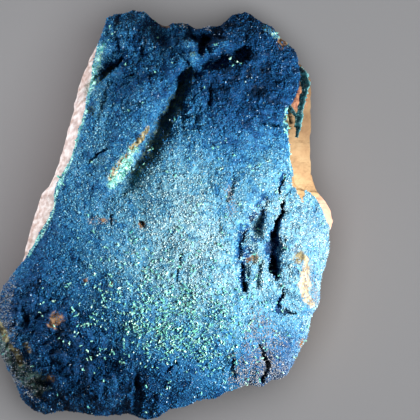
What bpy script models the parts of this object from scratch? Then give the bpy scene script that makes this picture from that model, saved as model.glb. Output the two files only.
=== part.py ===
"""Cornetite on siltstone: a blue crust of fine crystals over one face of a broken slab.

The specimen lies on its flat bedding plane, with the crust up.  X runs across the crusted face,
Y runs up it, and Z stands out of it.  The origin is under the middle, on the surface it rests on.
It is two solids: the host rock, and the crust that grew over its face.  Sizes are in millimetres
until the points are placed, which turns them into metres.
"""

import bmesh
import bpy
import numpy as np

MM = 0.001

# Driving sizes
CREST_HEIGHT = 30.0
CRUST_THICKNESS = 1.2
SEAT_GAP = 0.3
COLUMNS = 32
ROWS = 40

# The edge of the crust, as four curves.  Left and right run upward, bottom and top run rightward.
LEFT_EDGE = [
    (-29.6, -35.6), (-30.9, -31.8), (-32.4, -28.6), (-33.7, -25.2), (-33.1, -21.4), (-33.3, -18.4),
    (-32.2, -14.8), (-30.8, -12.4), (-28.8, -10.4), (-27.2, -8.4), (-25.2, -4.8), (-23.2, -1.6),
    (-21.9, 1.2), (-21.3, 5.0), (-18.6, 11.0), (-17.0, 15.2), (-15.7, 20.6), (-14.9, 25.4),
    (-14.2, 29.4), (-13.4, 33.2), (-12.4, 36.6),
]
RIGHT_EDGE = [
    (25.8, -30.6), (26.2, -28.4), (28.3, -24.8), (29.4, -20.8), (30.8, -17.8), (31.0, -15.2),
    (32.2, -10.2), (32.9, -5.8), (33.0, -2.8), (31.7, 0.0), (30.2, 3.0), (29.0, 4.4),
    (27.2, 4.9), (25.9, 6.0), (25.2, 8.4), (25.1, 13.4), (24.7, 17.8), (24.8, 20.8),
    (26.0, 23.8), (27.3, 27.2), (27.0, 30.6),
]
BOTTOM_EDGE = [
    (-29.6, -35.6), (-28.0, -37.8), (-26.0, -39.6), (-24.0, -40.5), (-21.2, -39.5), (-16.0, -40.2),
    (-10.4, -40.6), (-7.2, -39.8), (-3.6, -41.2), (-1.2, -40.7), (1.0, -39.2), (5.0, -38.0),
    (10.0, -36.7), (14.6, -34.8), (16.6, -33.9), (19.4, -34.3), (22.6, -33.0), (24.8, -32.0),
    (25.8, -30.6),
]
TOP_EDGE = [
    (-12.4, 36.6), (-11.3, 39.0), (-9.4, 40.2), (-6.4, 40.6), (-4.0, 40.1), (-2.2, 38.6),
    (-0.4, 37.3), (3.4, 38.0), (7.4, 36.8), (11.0, 38.0), (13.6, 39.8), (16.0, 40.3),
    (18.2, 39.4), (21.4, 37.2), (24.8, 34.3), (26.3, 32.4), (27.0, 30.6),
]

# Where bare rock stands out beyond the crust: its outer edge, as (height up the face, across).
BARE_LEFT = [
    (-10.0, -28.4), (-5.6, -27.2), (-1.0, -26.0), (2.0, -25.0), (4.0, -24.4), (5.4, -22.9),
    (10.0, -20.9), (15.0, -19.6), (20.0, -18.3), (24.6, -17.3), (28.0, -16.1), (31.2, -14.8),
    (34.0, -13.3),
]
BARE_RIGHT = [
    (-3.4, 33.2), (-1.4, 33.7), (0.6, 33.3), (2.6, 32.2), (4.6, 30.6), (7.0, 29.3),
    (15.0, 29.3), (24.0, 29.5), (26.8, 29.4), (28.6, 28.3), (30.6, 27.0),
]

# The face slopes away from its crest: (direction it falls in, where the fall starts, steepness).
FALLS = [
    ((1.0, 0.0), 10.0, 0.38),
    ((-1.0, 0.0), 25.0, 0.20),
    ((0.0, 1.0), 19.0, 0.60),
    ((0.0, -1.0), 26.0, 0.45),
    ((-0.71, -0.71), 22.0, 0.28),
]
FALL_SOFTNESS = 3.5
DOME_CENTRE = (-6.0, -4.0)
DOME_BEND = 0.0019

# The broken edge of the raised block at the upper left, from its top down to its foot.
LEDGE = [
    (6.2, 31.6), (4.3, 28.2), (1.9, 23.4), (-1.0, 19.5), (-2.8, 17.0), (-6.1, 11.6), (-9.4, 6.9),
    (-11.4, 4.2),
]
LEDGE_HEIGHT = 3.0
LEDGE_SHEER = (-0.9, 1.2)

# Long marks in the face: (points along it, half width, height).  A negative height is a hollow.
MARKS = [
    ([(5.6, 29.2), (0.6, 18.6), (-3.6, 11.0), (-6.8, 7.0)], 2.7, -2.4),
    ([(8.0, 29.8), (12.0, 30.8), (15.8, 32.0)], 1.8, -2.8),
    ([(5.0, 33.2), (5.8, 30.4)], 1.6, 2.2),
    ([(8.6, 32.6), (11.8, 34.0)], 1.3, 2.0),
    ([(-9.0, 30.4), (-14.0, 25.6), (-15.8, 23.0)], 1.2, -1.8),
    ([(-15.6, 27.0), (-12.4, 32.5)], 1.4, 0.8),
    ([(22.4, -1.5), (21.5, -6.4), (22.0, -12.4)], 1.6, -4.6),
    ([(20.0, 2.4), (15.9, -5.0), (15.6, -14.0)], 1.8, -2.0),
    ([(20.6, 1.0), (19.6, -14.0)], 1.0, 0.8),
    ([(26.2, 2.0), (26.6, -15.0)], 2.2, 0.9),
    ([(14.2, 8.4), (12.6, 3.0)], 1.3, -0.7),
    ([(19.0, -26.0), (20.5, -30.0), (19.4, -33.6)], 1.3, -2.0),
    ([(-5.4, -32.0), (-5.5, -39.0)], 1.5, -1.6),
    ([(-33.0, -24.0), (-29.0, -23.4)], 1.2, -1.8),
    ([(-26.8, -33.4), (-22.4, -34.0)], 1.2, -1.0),
]

# Round knobs and pits: (place, radius, height).
SPOTS = [
    ((7.4, 36.2), 1.8, 1.5),
    ((-8.6, 37.0), 3.2, 1.1),
    ((6.6, 34.4), 1.3, -1.8),
    ((-27.0, -20.2), 1.4, -2.2),
    ((-30.4, -15.6), 2.4, 1.0),
    ((-21.0, -30.0), 5.0, 1.3),
    ((22.4, -28.0), 2.6, 0.9),
    ((15.0, -30.0), 2.8, 0.8),
]

# Low swells over the whole face: (height, wavelength, bearing in degrees, phase).
SWELLS = [
    (0.42, 17.0, 25.0, 0.4),
    (0.34, 12.5, 112.0, 2.1),
    (0.24, 8.6, 68.0, 4.0),
    (0.16, 7.1, 151.0, 1.2),
]

# How far the crust rolls over at each side of its patch, and the width of the roll.
ROLL_WIDTH = 6.0
ROLL_TOP = 2.6
ROLL_BOTTOM = 4.2
ROLL_LEFT_WRAPPED = 4.6
ROLL_LEFT_BROKEN = 1.4
ROLL_RIGHT_WRAPPED = 3.8
ROLL_RIGHT_BROKEN = 1.2
BROKEN_LEFT_FROM = -9.0
BROKEN_RIGHT_FROM = -1.5

# Bare rock leaves the crust's edge at this slope, down to the rock's widest line.
BARE_SLOPE = 1.25
LIP_DROP = 0.8
TUCK_UNDER_CRUST = 0.5

# Below that, the rock's sides down to the bedding plane: (share of height, spread).
SIDE_RINGS = [
    (0.74, 1.000),
    (0.50, 0.990),
    (0.27, 0.965),
    (0.07, 0.930),
    (0.00, 0.900),
]
RING_SMOOTHING = 4
SIDE_ROUGHNESS = 0.035


def smooth_step(value, start, end):
    """Eases from 0 at start to 1 at end."""
    share = np.clip((value - start) / (end - start), 0.0, 1.0)
    return share * share * (3.0 - 2.0 * share)


def point_on(curve, share):
    """The points at these shares of a curve's length."""
    corners = np.array(curve)
    steps = np.hypot(*np.diff(corners, axis=0).T)
    reach = np.concatenate([[0.0], np.cumsum(steps)]) / steps.sum()
    return np.stack([np.interp(share, reach, corners[:, axis]) for axis in (0, 1)], axis=-1)


def outline_middle():
    """The middle of the box around the whole outline, bare rock included."""
    edges = np.array(LEFT_EDGE + RIGHT_EDGE + BOTTOM_EDGE + TOP_EDGE)
    bare = np.array([(across, up) for up, across in BARE_LEFT + BARE_RIGHT])
    both = np.concatenate([edges, bare])
    return (both.min(axis=0) + both.max(axis=0)) / 2.0


def patch_points(u, v):
    """The four edge curves blended over the face, with u across it and v up it (a Coons patch)."""
    across, up = u[:, None], v[:, None]
    between_sides = (1.0 - across) * point_on(LEFT_EDGE, v) + across * point_on(RIGHT_EDGE, v)
    between_ends = (1.0 - up) * point_on(BOTTOM_EDGE, u) + up * point_on(TOP_EDGE, u)
    low_left, low_right = np.array(BOTTOM_EDGE[0]), np.array(BOTTOM_EDGE[-1])
    top_left, top_right = np.array(TOP_EDGE[0]), np.array(TOP_EDGE[-1])
    low = (1.0 - across) * low_left + across * low_right
    top = (1.0 - across) * top_left + across * top_right
    return between_sides + between_ends - (1.0 - up) * low - up * top


def from_line(points, line):
    """How far points lie from a bent line, on which side (left is positive), and how far along it."""
    near, side, reach = np.full(len(points), np.inf), np.zeros(len(points)), np.zeros(len(points))
    corners = np.array(line)
    gone = 0.0
    for start, end in zip(corners[:-1], corners[1:]):
        run = end - start
        share = np.clip((points - start) @ run / (run @ run), 0.0, 1.0)
        away = points - start - share[:, None] * run
        distance = np.hypot(*away.T)
        closer = distance < near
        side = np.where(closer, np.sign(run[0] * away[:, 1] - run[1] * away[:, 0]), side)
        reach = np.where(closer, gone + share * np.hypot(*run), reach)
        near = np.minimum(near, distance)
        gone += np.hypot(*run)
    return near, side, reach


def ledge_relief(points):
    """The raised block left of its broken edge, which runs out towards both ends of the edge."""
    near, side, reach = from_line(points, LEDGE)
    beyond = near * side
    fading = smooth_step(reach, -1.0, 4.0) * (1.0 - 0.5 * smooth_step(reach, 24.0, 31.0))
    fading = fading * (1.0 - smooth_step(reach, 26.0, 31.0) * smooth_step(near, 0.0, 5.0))
    block = LEDGE_HEIGHT * (1.0 - smooth_step(beyond, *LEDGE_SHEER))
    return fading * block * (1.0 - 0.7 * smooth_step(-beyond, 3.0, 16.0))


def face_relief(points):
    """The face's height above the bedding plane, before it rolls over at its edges."""
    height = np.full(len(points), CREST_HEIGHT)
    for direction, start, steepness in FALLS:
        reach = points @ np.array(direction) - start
        height -= steepness * FALL_SOFTNESS * np.logaddexp(0.0, reach / FALL_SOFTNESS)
    height -= DOME_BEND * ((points - np.array(DOME_CENTRE)) ** 2).sum(axis=1)
    height += ledge_relief(points)
    for line, half_width, rise in MARKS:
        height += rise * np.exp(-((from_line(points, line)[0] / half_width) ** 2))
    for place, radius, rise in SPOTS:
        reach = np.hypot(*(points - np.array(place)).T)
        height += rise * np.exp(-((reach / radius) ** 2))
    for rise, wavelength, bearing, phase in SWELLS:
        turn = np.radians(bearing)
        travel = points @ np.array([np.cos(turn), np.sin(turn)])
        height += rise * np.sin(2.0 * np.pi * travel / wavelength + phase)
    return height


def edge_roll(u, v, points):
    """How far the face has rolled over, from its distance to each side of the patch."""
    width = np.array(RIGHT_EDGE)[:, 0].max() - np.array(LEFT_EDGE)[:, 0].min()
    height = np.array(TOP_EDGE)[:, 1].max() - np.array(BOTTOM_EDGE)[:, 1].min()
    broken_left = smooth_step(points[:, 1], BROKEN_LEFT_FROM - 2.0, BROKEN_LEFT_FROM + 2.0)
    broken_right = smooth_step(points[:, 1], BROKEN_RIGHT_FROM - 2.0, BROKEN_RIGHT_FROM + 2.0)
    left = ROLL_LEFT_WRAPPED + (ROLL_LEFT_BROKEN - ROLL_LEFT_WRAPPED) * broken_left
    right = ROLL_RIGHT_WRAPPED + (ROLL_RIGHT_BROKEN - ROLL_RIGHT_WRAPPED) * broken_right
    sides = (
        (left, u * width),
        (right, (1.0 - u) * width),
        (ROLL_BOTTOM, v * height),
        (ROLL_TOP, (1.0 - v) * height),
    )
    rolls = [drop * np.clip(1.0 - away / ROLL_WIDTH, 0.0, 1.0) ** 2 for drop, away in sides]
    return np.sqrt(sum(roll ** 2 for roll in rolls))


def crust_surface(u, v):
    """Points of the crust's outer surface."""
    flat = patch_points(u, v)
    height = face_relief(flat) - edge_roll(u, v, flat)
    return np.column_stack([flat - outline_middle(), height])


def face_grid():
    """A grid of triangles over the face, with each point's u and v, and its rim in order."""
    grid = bmesh.new()
    bmesh.ops.create_grid(grid, x_segments=COLUMNS, y_segments=ROWS, size=0.5)
    bmesh.ops.triangulate(grid, faces=grid.faces[:], quad_method="FIXED")
    shares = np.array([(point.co.x + 0.5, point.co.y + 0.5) for point in grid.verts])
    return grid, shares[:, 0], shares[:, 1]


def place(points, positions):
    """Moves mesh points to positions given in millimetres."""
    for point, position in zip(points, positions):
        point.co = position * MM


def crust_mesh():
    """The crust: the face's surface, a copy of it lower down, and a wall around the two."""
    grid, u, v = face_grid()
    surface = crust_surface(u, v)
    under = bmesh.ops.duplicate(grid, geom=grid.verts[:] + grid.edges[:] + grid.faces[:])["geom"]
    under_points = [item for item in under if isinstance(item, bmesh.types.BMVert)]
    under_faces = [item for item in under if isinstance(item, bmesh.types.BMFace)]
    over_points = [point for point in grid.verts if point not in set(under_points)]
    place(over_points, surface)
    place(under_points, surface - [0.0, 0.0, CRUST_THICKNESS])
    bmesh.ops.reverse_faces(grid, faces=under_faces)
    rims = [edge for edge in grid.edges if edge.is_boundary]
    bmesh.ops.bridge_loops(grid, edges=rims)
    return grid


def rim_turn(u, v):
    """Where a rim point lies on the way round the patch, from 0 to 4, counter-clockwise."""
    on_bottom, on_right, on_top = v < 1e-6, u > 1.0 - 1e-6, v > 1.0 - 1e-6
    return np.where(on_bottom, u, np.where(on_right, 1.0 + v, np.where(on_top, 3.0 - u, 4.0 - v)))


def widest_line(rim):
    """The rock's widest outline: the bare rock's edge, and elsewhere a line just under the crust."""
    inward = -rim / np.hypot(*rim.T)[:, None]
    line = rim + TUCK_UNDER_CRUST * inward
    middle = outline_middle()
    up = rim[:, 1] + middle[1]
    for bare, side in ((BARE_LEFT, -1.0), (BARE_RIGHT, 1.0)):
        heights, across = np.array(bare).T
        edge = np.interp(up, heights, across) - middle[0]
        shown = (up > heights[0]) & (up < heights[-1]) & (rim[:, 0] * side > 0.0)
        line[:, 0] = np.where(shown, side * np.maximum(edge * side, line[:, 0] * side), line[:, 0])
    return line


def smoothed(values, reach):
    """Each value averaged with its neighbours on the way round."""
    window = range(-reach, reach + 1)
    return sum(np.roll(values, step, axis=0) for step in window) / len(window)


def side_rings(rim):
    """The rings of the rock's side below the crust's rim: its widest line, then down to the base."""
    widest = widest_line(rim[:, :2])
    shown = np.hypot(*(widest - rim[:, :2]).T) - TUCK_UNDER_CRUST
    lip = rim[:, 2] - LIP_DROP - BARE_SLOPE * np.maximum(shown, 0.0)
    body = np.minimum(lip, smoothed(lip, 3))
    even = smoothed(widest, RING_SMOOTHING)
    bearing = np.arctan2(rim[:, 1], rim[:, 0])
    rings = [np.column_stack([widest, lip])]
    for level, (share, spread) in enumerate(SIDE_RINGS):
        ease = min(1.0, level / 2.0)
        outline = (1.0 - ease) * widest + ease * even
        facets = np.sin(5.0 * bearing + 1.3 * level) + 0.6 * np.sin(9.0 * bearing - 2.1 * level)
        swell = 1.0 + SIDE_ROUGHNESS * ease * (facets - 1.0)
        rings.append(np.column_stack([outline * spread * swell[:, None], share * body]))
    return rings


def rock_mesh():
    """The rock: its face under the crust, sides let down ring by ring, and a flat bedding plane."""
    grid, u, v = face_grid()
    face = crust_surface(u, v) - [0.0, 0.0, CRUST_THICKNESS + SEAT_GAP]
    rim_edges = [edge for edge in grid.edges if edge.is_boundary]
    on_rim = np.array([point.is_boundary for point in grid.verts])
    order = np.argsort(rim_turn(u, v)[on_rim])
    rings = side_rings(face[on_rim][order])
    place_on_rim = np.empty(len(order), int)
    place_on_rim[order] = np.arange(len(order))
    rim_points = [point for point in grid.verts if point.is_boundary]
    turn_of = dict(zip(rim_points, place_on_rim))
    place(grid.verts[:], face)
    for ring in rings:
        grown = bmesh.ops.extrude_edge_only(grid, edges=rim_edges)["geom"]
        lower = [item for item in grown if isinstance(item, bmesh.types.BMVert)]
        edges = [item for item in grown if isinstance(item, bmesh.types.BMEdge)]
        rim_edges = [edge for edge in edges if edge.is_boundary]
        next_turns = {}
        for point in lower:
            joined = [edge.other_vert(point) for edge in point.link_edges]
            above = next(other for other in joined if other in turn_of)
            next_turns[point] = turn_of[above]
            point.co = ring[turn_of[above]] * MM
        turn_of = next_turns
    bmesh.ops.contextual_create(grid, geom=rim_edges)
    return grid


def stone_material(name, colour, roughness):
    """A plain finish in the piece's own colour."""
    material = bpy.data.materials.new(name)
    material.use_nodes = True
    shader = material.node_tree.nodes["Principled BSDF"]
    shader.inputs["Base Color"].default_value = (*colour, 1.0)
    shader.inputs["Roughness"].default_value = roughness
    shader.inputs["Metallic"].default_value = 0.0
    return material


def add_piece(name, grid, material, collection):
    """Makes a named object from a finished mesh."""
    bmesh.ops.recalc_face_normals(grid, faces=grid.faces[:])
    mesh = bpy.data.meshes.new(name)
    grid.to_mesh(mesh)
    grid.free()
    mesh.materials.append(material)
    piece = bpy.data.objects.new(name, mesh)
    collection.objects.link(piece)
    return piece


def build():
    for old in list(bpy.data.objects):
        bpy.data.objects.remove(old)
    specimen = bpy.data.collections.new("cornetite_specimen")
    bpy.context.scene.collection.children.link(specimen)
    rock = stone_material("siltstone", (0.62, 0.42, 0.30), 0.8)
    crust = stone_material("cornetite", (0.02, 0.17, 0.36), 0.35)
    add_piece("host_rock", rock_mesh(), rock, specimen)
    add_piece("cornetite_crust", crust_mesh(), crust, specimen)


build()
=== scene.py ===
import bpy
import numpy as np
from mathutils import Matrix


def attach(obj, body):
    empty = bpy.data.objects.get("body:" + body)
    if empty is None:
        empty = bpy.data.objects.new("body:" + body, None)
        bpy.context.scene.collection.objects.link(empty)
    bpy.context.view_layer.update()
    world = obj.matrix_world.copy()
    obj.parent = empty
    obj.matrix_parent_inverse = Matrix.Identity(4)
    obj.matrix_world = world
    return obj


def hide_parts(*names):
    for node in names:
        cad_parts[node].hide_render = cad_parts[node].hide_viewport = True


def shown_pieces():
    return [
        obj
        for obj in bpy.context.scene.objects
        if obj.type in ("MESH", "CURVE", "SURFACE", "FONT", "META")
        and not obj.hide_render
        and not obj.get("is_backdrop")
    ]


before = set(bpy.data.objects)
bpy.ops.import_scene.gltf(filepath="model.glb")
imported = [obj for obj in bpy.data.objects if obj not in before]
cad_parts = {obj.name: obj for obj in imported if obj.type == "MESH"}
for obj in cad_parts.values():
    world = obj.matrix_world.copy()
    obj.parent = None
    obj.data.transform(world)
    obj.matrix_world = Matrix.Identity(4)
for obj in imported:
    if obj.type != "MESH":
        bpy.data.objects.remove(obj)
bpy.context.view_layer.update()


# The host rock.  A hand-sized piece of pale siltstone, broken from its bed and laid on a bedding plane.
# It is bare along both sides of the crust and on its broken flanks, and iron has stained it tan on the
# right.  All places are in millimetres, across and up from a point near the middle of the face.

# The crust's four edges: (across, up).
LEFT_EDGE = [
    (-29.6, -35.6), (-30.9, -31.8), (-32.4, -28.6), (-33.7, -25.2), (-33.1, -21.4), (-33.3, -18.4),
    (-32.2, -14.8), (-30.8, -12.4), (-28.8, -10.4), (-27.2, -8.4), (-25.2, -4.8), (-23.2, -1.6),
    (-21.9, 1.2), (-21.3, 5.0), (-18.6, 11.0), (-17.0, 15.2), (-15.7, 20.6), (-14.9, 25.4),
    (-14.2, 29.4), (-13.4, 33.2), (-12.4, 36.6),
]
RIGHT_EDGE = [
    (25.8, -30.6), (26.2, -28.4), (28.3, -24.8), (29.4, -20.8), (30.8, -17.8), (31.0, -15.2),
    (32.2, -10.2), (32.9, -5.8), (33.0, -2.8), (31.7, 0.0), (30.2, 3.0), (29.0, 4.4),
    (27.2, 4.9), (25.9, 6.0), (25.2, 8.4), (25.1, 13.4), (24.7, 17.8), (24.8, 20.8),
    (26.0, 23.8), (27.3, 27.2), (27.0, 30.6),
]
BOTTOM_EDGE = [
    (-29.6, -35.6), (-28.0, -37.8), (-26.0, -39.6), (-24.0, -40.5), (-21.2, -39.5), (-16.0, -40.2),
    (-10.4, -40.6), (-7.2, -39.8), (-3.6, -41.2), (-1.2, -40.7), (1.0, -39.2), (5.0, -38.0),
    (10.0, -36.7), (14.6, -34.8), (16.6, -33.9), (19.4, -34.3), (22.6, -33.0), (24.8, -32.0),
    (25.8, -30.6),
]
TOP_EDGE = [
    (-12.4, 36.6), (-11.3, 39.0), (-9.4, 40.2), (-6.4, 40.6), (-4.0, 40.1), (-2.2, 38.6),
    (-0.4, 37.3), (3.4, 38.0), (7.4, 36.8), (11.0, 38.0), (13.6, 39.8), (16.0, 40.3),
    (18.2, 39.4), (21.4, 37.2), (24.8, 34.3), (26.3, 32.4), (27.0, 30.6),
]
# The outer edges of the bare rock: (up, across).
BARE_LEFT = [
    (-10.0, -28.4), (-5.6, -27.2), (-1.0, -26.0), (2.0, -25.0), (4.0, -24.4), (5.4, -22.9),
    (10.0, -20.9), (15.0, -19.6), (20.0, -18.3), (24.6, -17.3), (28.0, -16.1), (31.2, -14.8),
    (34.0, -13.3),
]
BARE_RIGHT = [
    (-3.4, 33.2), (-1.4, 33.7), (0.6, 33.3), (2.6, 32.2), (4.6, 30.6), (7.0, 29.3),
    (15.0, 29.3), (24.0, 29.5), (26.8, 29.4), (28.6, 28.3), (30.6, 27.0),
]


def along(curve, share):
    """The points at these shares of a curve's length, on the straight runs between its corners."""
    corners = np.array(curve)
    steps = np.hypot(*np.diff(corners, axis=0).T)
    reach = np.concatenate([[0.0], np.cumsum(steps)]) / steps.sum()
    return np.stack([np.interp(share, reach, corners[:, axis]) for axis in (0, 1)], axis=-1)


def ease(value, start, end):
    """3t^2 - 2t^3, where t goes from 0 at start to 1 at end."""
    share = np.clip((value - start) / (end - start), 0.0, 1.0)
    return share * share * (3.0 - 2.0 * share)


def noise(points, cell, seed):
    """Random numbers from -1 to 1 on a cubic lattice of this cell, blended between the eight corners
    round each point with eased shares.  The lattice repeats."""
    repeat = 64
    table = np.random.default_rng(seed).uniform(-1.0, 1.0, (repeat, repeat, repeat))
    place = points / cell
    low = np.floor(place).astype(int)
    share = place - low
    share = share * share * (3.0 - 2.0 * share)
    total = np.zeros(points.shape[:-1])
    for corner in np.ndindex(2, 2, 2):
        weight = np.prod(np.where(corner, share, 1.0 - share), axis=-1)
        total += weight * table[tuple(np.moveaxis((low + corner) % repeat, -1, 0))]
    return total


def flat_noise(flat, cell, seed):
    """The same noise over a plane."""
    return noise(np.concatenate([flat, np.zeros(flat.shape[:-1] + (1,))], axis=-1), cell, seed)


def middle_of_outline():
    """The middle of the box round the crust's edge and the bare rock's edge."""
    edges = np.array(LEFT_EDGE + RIGHT_EDGE + BOTTOM_EDGE + TOP_EDGE)
    bare = np.array([(across, up) for up, across in BARE_LEFT + BARE_RIGHT])
    both = np.concatenate([edges, bare])
    return (both.min(axis=0) + both.max(axis=0)) / 2.0


def plan(u, v):
    """The Coons patch between the four edges: the mean of the two blends of opposite edges, taken
    twice, less the blend of the four corners.  A little noise then frays it."""
    across, up = u[..., None], v[..., None]
    between_sides = (1.0 - across) * along(LEFT_EDGE, v) + across * along(RIGHT_EDGE, v)
    between_ends = (1.0 - up) * along(BOTTOM_EDGE, u) + up * along(TOP_EDGE, u)
    low = (1.0 - across) * np.array(BOTTOM_EDGE[0]) + across * np.array(BOTTOM_EDGE[-1])
    top = (1.0 - across) * np.array(TOP_EDGE[0]) + across * np.array(TOP_EDGE[-1])
    flat = between_sides + between_ends - (1.0 - up) * low - up * top
    fray = np.stack([flat_noise(flat, 2.1, 11), flat_noise(flat, 2.1, 12)], axis=-1)
    fine = np.stack([flat_noise(flat, 0.9, 13), flat_noise(flat, 0.9, 14)], axis=-1)
    return flat + 0.30 * fray + 0.14 * fine


def from_line(flat, line):
    """Distance to the nearest run of a line of points, its side (left is positive), and how far
    along the line that nearest place is, in millimetres."""
    near = np.full(flat.shape[:-1], 1e9)
    side = np.ones(flat.shape[:-1])
    reach = np.zeros(flat.shape[:-1])
    gone = 0.0
    corners = np.array(line)[:, :2]
    for start, end in zip(corners[:-1], corners[1:]):
        run = end - start
        length = np.hypot(*run)
        share = np.clip((flat - start) @ run / length ** 2, 0.0, 1.0)
        off = flat - start - share[..., None] * run
        distance = np.hypot(off[..., 0], off[..., 1])
        closer = distance < near
        turn = np.sign(run[0] * off[..., 1] - run[1] * off[..., 0] + 1e-12)
        near = np.where(closer, distance, near)
        side = np.where(closer, turn, side)
        reach = np.where(closer, gone + share * length, reach)
        gone += length
    return near, side, reach


def beside(flat, line):
    """Distance to a line whose points carry a half width as well, in half widths."""
    near, _, reach = from_line(flat, line)
    corners = np.array(line)
    gone = np.concatenate([[0.0], np.cumsum(np.hypot(*np.diff(corners[:, :2], axis=0).T))])
    return near / np.interp(reach, gone, corners[:, 2])


# The lip of the ledge, from the knob at the top down to the turquoise place.
LEDGE = [
    (5.6, 31.8), (3.6, 28.4), (1.3, 23.6), (-1.6, 19.4), (-3.3, 16.8), (-6.1, 11.6), (-9.4, 6.9),
    (-11.4, 4.2),
]
# The dark hollow along its foot: (across, up, half width).
HOLLOW = [
    (4.6, 28.4, 1.4), (2.7, 24.4, 1.6), (0.1, 18.8, 1.8), (-2.2, 14.0, 1.9), (-4.0, 11.0, 2.2),
    (-6.9, 7.0, 2.4),
]
# Hollows and ridges along lines: ((across, up, half width) ..., height).
LINES = [
    ([(8.0, 29.8, 1.1), (12.0, 30.8, 2.0), (15.8, 32.0, 1.2)], -2.5),
    ([(5.0, 33.2, 1.4), (5.8, 30.4, 1.5)], 3.0),
    ([(7.6, 34.2, 0.4), (7.5, 31.6, 0.5)], -1.6),
    ([(8.9, 32.4, 1.0), (11.8, 33.8, 1.2)], 2.0),
    ([(5.8, 35.4, 0.6), (8.4, 34.7, 0.8)], -2.4),
    ([(-9.0, 30.4, 0.5), (-11.6, 27.8, 1.1), (-14.0, 25.6, 0.9), (-15.6, 23.0, 0.7)], -2.4),
    ([(-4.8, 33.4, 0.4), (-4.2, 31.8, 0.4)], -1.0),
    ([(-11.0, 13.0, 0.3), (-14.6, 10.6, 0.4)], -0.7),
    ([(-15.6, 27.0, 1.4), (-12.4, 32.5, 1.4)], 0.8),
    ([(19.0, 18.0, 0.3), (22.0, 17.5, 0.4), (24.8, 17.4, 0.3)], -1.3),
    ([(14.2, 8.4, 0.9), (12.6, 3.0, 0.6)], -0.7),
    ([(23.6, 8.0, 0.2), (23.0, 5.6, 0.3), (22.9, 3.8, 0.2)], -1.4),
    ([(23.9, 2.0, 0.3), (22.0, -3.4, 0.5), (21.3, -6.6, 1.9), (21.7, -10.4, 1.2), (22.2, -13.0, 0.4)], -4.8),
    ([(20.0, 2.4, 1.1), (16.8, -3.6, 2.4), (15.6, -8.4, 1.9), (15.6, -15.4, 0.6)], -0.9),
    ([(15.8, -3.6, 0.3), (15.0, -6.2, 0.5), (14.8, -8.8, 0.4)], -1.1),
    ([(15.4, -10.4, 0.3), (15.4, -12.8, 0.5), (15.9, -15.4, 0.5)], -1.8),
    ([(23.8, -15.6, 0.3), (22.6, -17.8, 0.5), (22.7, -19.2, 0.6), (25.6, -19.8, 0.3)], -2.0),
    ([(20.6, 1.0, 0.7), (19.6, -14.0, 0.8)], 0.9),
    ([(26.2, 2.0, 2.2), (26.6, -15.0, 2.2)], 0.9),
    ([(19.0, -26.0, 0.3), (20.5, -30.0, 0.6), (19.4, -33.4, 0.6)], -1.7),
    ([(14.0, -29.0, 0.4), (13.2, -31.6, 0.9)], -1.0),
    ([(-5.4, -32.6, 0.6), (-5.5, -36.0, 1.2), (-5.4, -39.0, 1.0)], -1.8),
    ([(0.4, -31.2, 0.5), (2.4, -29.2, 0.4)], -1.0),
    ([(-33.6, -24.0, 1.0), (-30.8, -23.6, 0.6)], -2.0),
    ([(-26.6, -33.6, 0.7), (-22.4, -34.0, 0.7)], -1.2),
    ([(-10.4, -0.4, 0.4), (-10.6, -2.4, 0.3)], -0.9),
    ([(-4.6, -1.6, 0.35), (-4.3, -3.0, 0.3)], -0.8),
    ([(3.4, -8.4, 0.35), (2.8, -13.2, 0.3)], -0.5),
    ([(10.6, 0.8, 0.4), (11.4, -4.6, 0.3)], -0.5),
]
# Round knobs and pits: (place, radius, height).
KNOBS = [
    ((7.4, 36.2), 1.8, 1.5),
    ((-8.6, 37.0), 3.2, 1.1),
    ((-11.4, 33.4), 1.3, 0.8),
    ((-27.0, -20.6), 1.0, -2.4),
    ((-30.4, -15.6), 2.4, 1.0),
    ((-21.0, -30.0), 5.0, 1.3),
    ((22.4, -28.0), 2.6, 0.9),
    ((15.0, -30.0), 2.8, 0.8),
    ((17.6, -9.0), 1.0, -0.7),
    ((26.8, -8.6), 1.1, -0.8),
    ((-4.4, -2.2), 0.8, -0.5),
]
# Long waves: (height, wavelength, bearing, phase).
SWELLS = [
    (0.42, 17.0, 25.0, 0.4),
    (0.34, 12.5, 112.0, 2.1),
    (0.24, 8.6, 68.0, 4.0),
    (0.16, 7.1, 151.0, 1.2),
]
# Where the face falls away: (direction, how far out it starts, steepness).
FALLS = [
    ((1.0, 0.0), 10.0, 0.38),
    ((-1.0, 0.0), 25.0, 0.20),
    ((0.0, 1.0), 19.0, 0.60),
    ((0.0, -1.0), 26.0, 0.45),
    ((-0.71, -0.71), 22.0, 0.28),
]
# The height of the crest, and how wide the bend is from it into each fall.
CREST = 29.6
BEND = 3.5


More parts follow.
